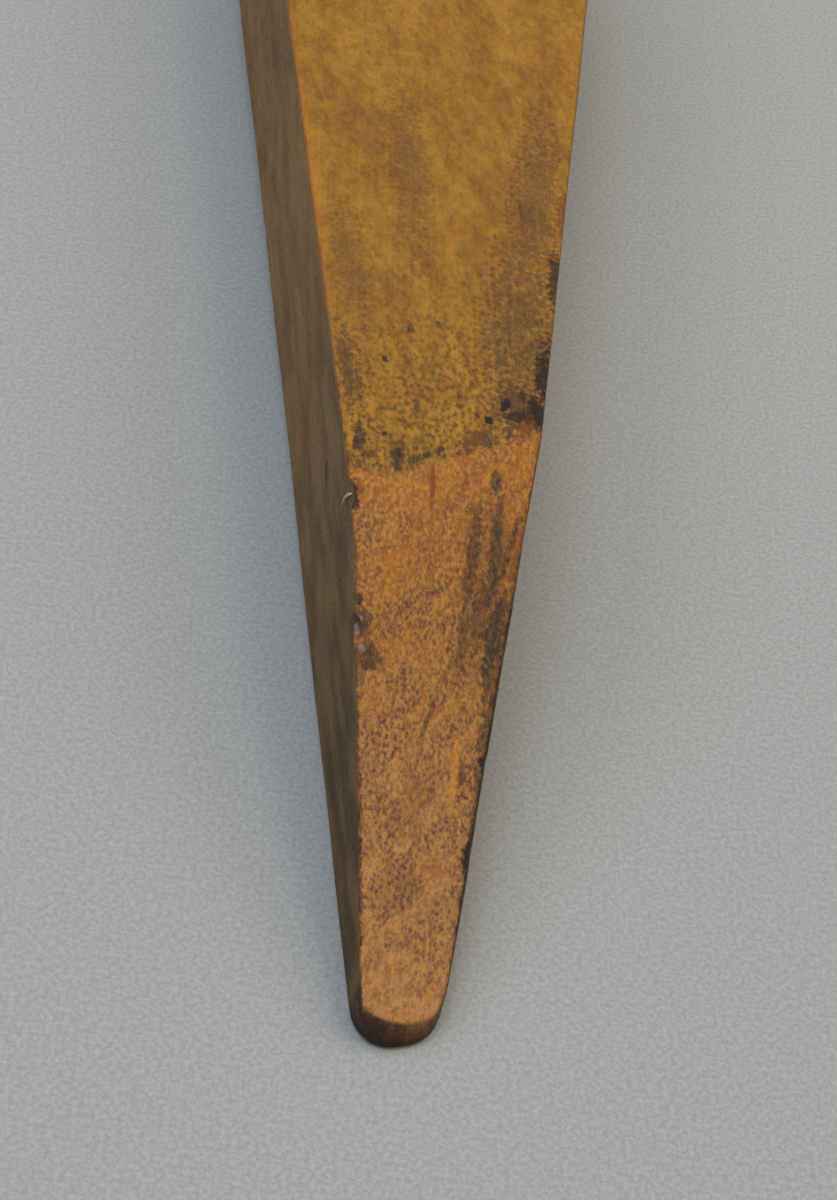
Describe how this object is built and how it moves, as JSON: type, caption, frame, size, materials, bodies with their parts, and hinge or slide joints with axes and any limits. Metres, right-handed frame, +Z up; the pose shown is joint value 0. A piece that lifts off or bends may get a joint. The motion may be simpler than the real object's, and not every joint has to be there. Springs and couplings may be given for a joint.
{
  "type": "garden dibber",
  "caption": "Wooden dibber: a flat blade tapers to a blunt, faceted point, and its split tenon is wedged and pegged through a turned cross grip.",
  "frame": {"origin": "bottom centre of the tool's box as it lies at rest on the ground", "axes": "+Y from the nose towards the grip, +X along the grip, +Z up. At rest the nose and the grip's two swells touch the ground, so the blade slopes up towards the grip by about 1.5 degrees"},
  "size_m": [0.13, 0.28, 0.0352],
  "materials": {
    "blade_wood": "bare fine-grained hardwood, yellow-brown, dark with soil and handling, satin on the worn faces",
    "grip_wood": "turned hardwood, polished by the hand, satin",
    "wedge_wood": "darker cleft hardwood, matt",
    "peg_wood": "paler hardwood, matt end grain"
  },
  "bodies": {
    "root": {"blade": "blade_wood", "cross_grip": "grip_wood", "left_wedge": "wedge_wood", "right_wedge": "wedge_wood", "locking_peg": "peg_wood"}
  },
  "joints": []
}
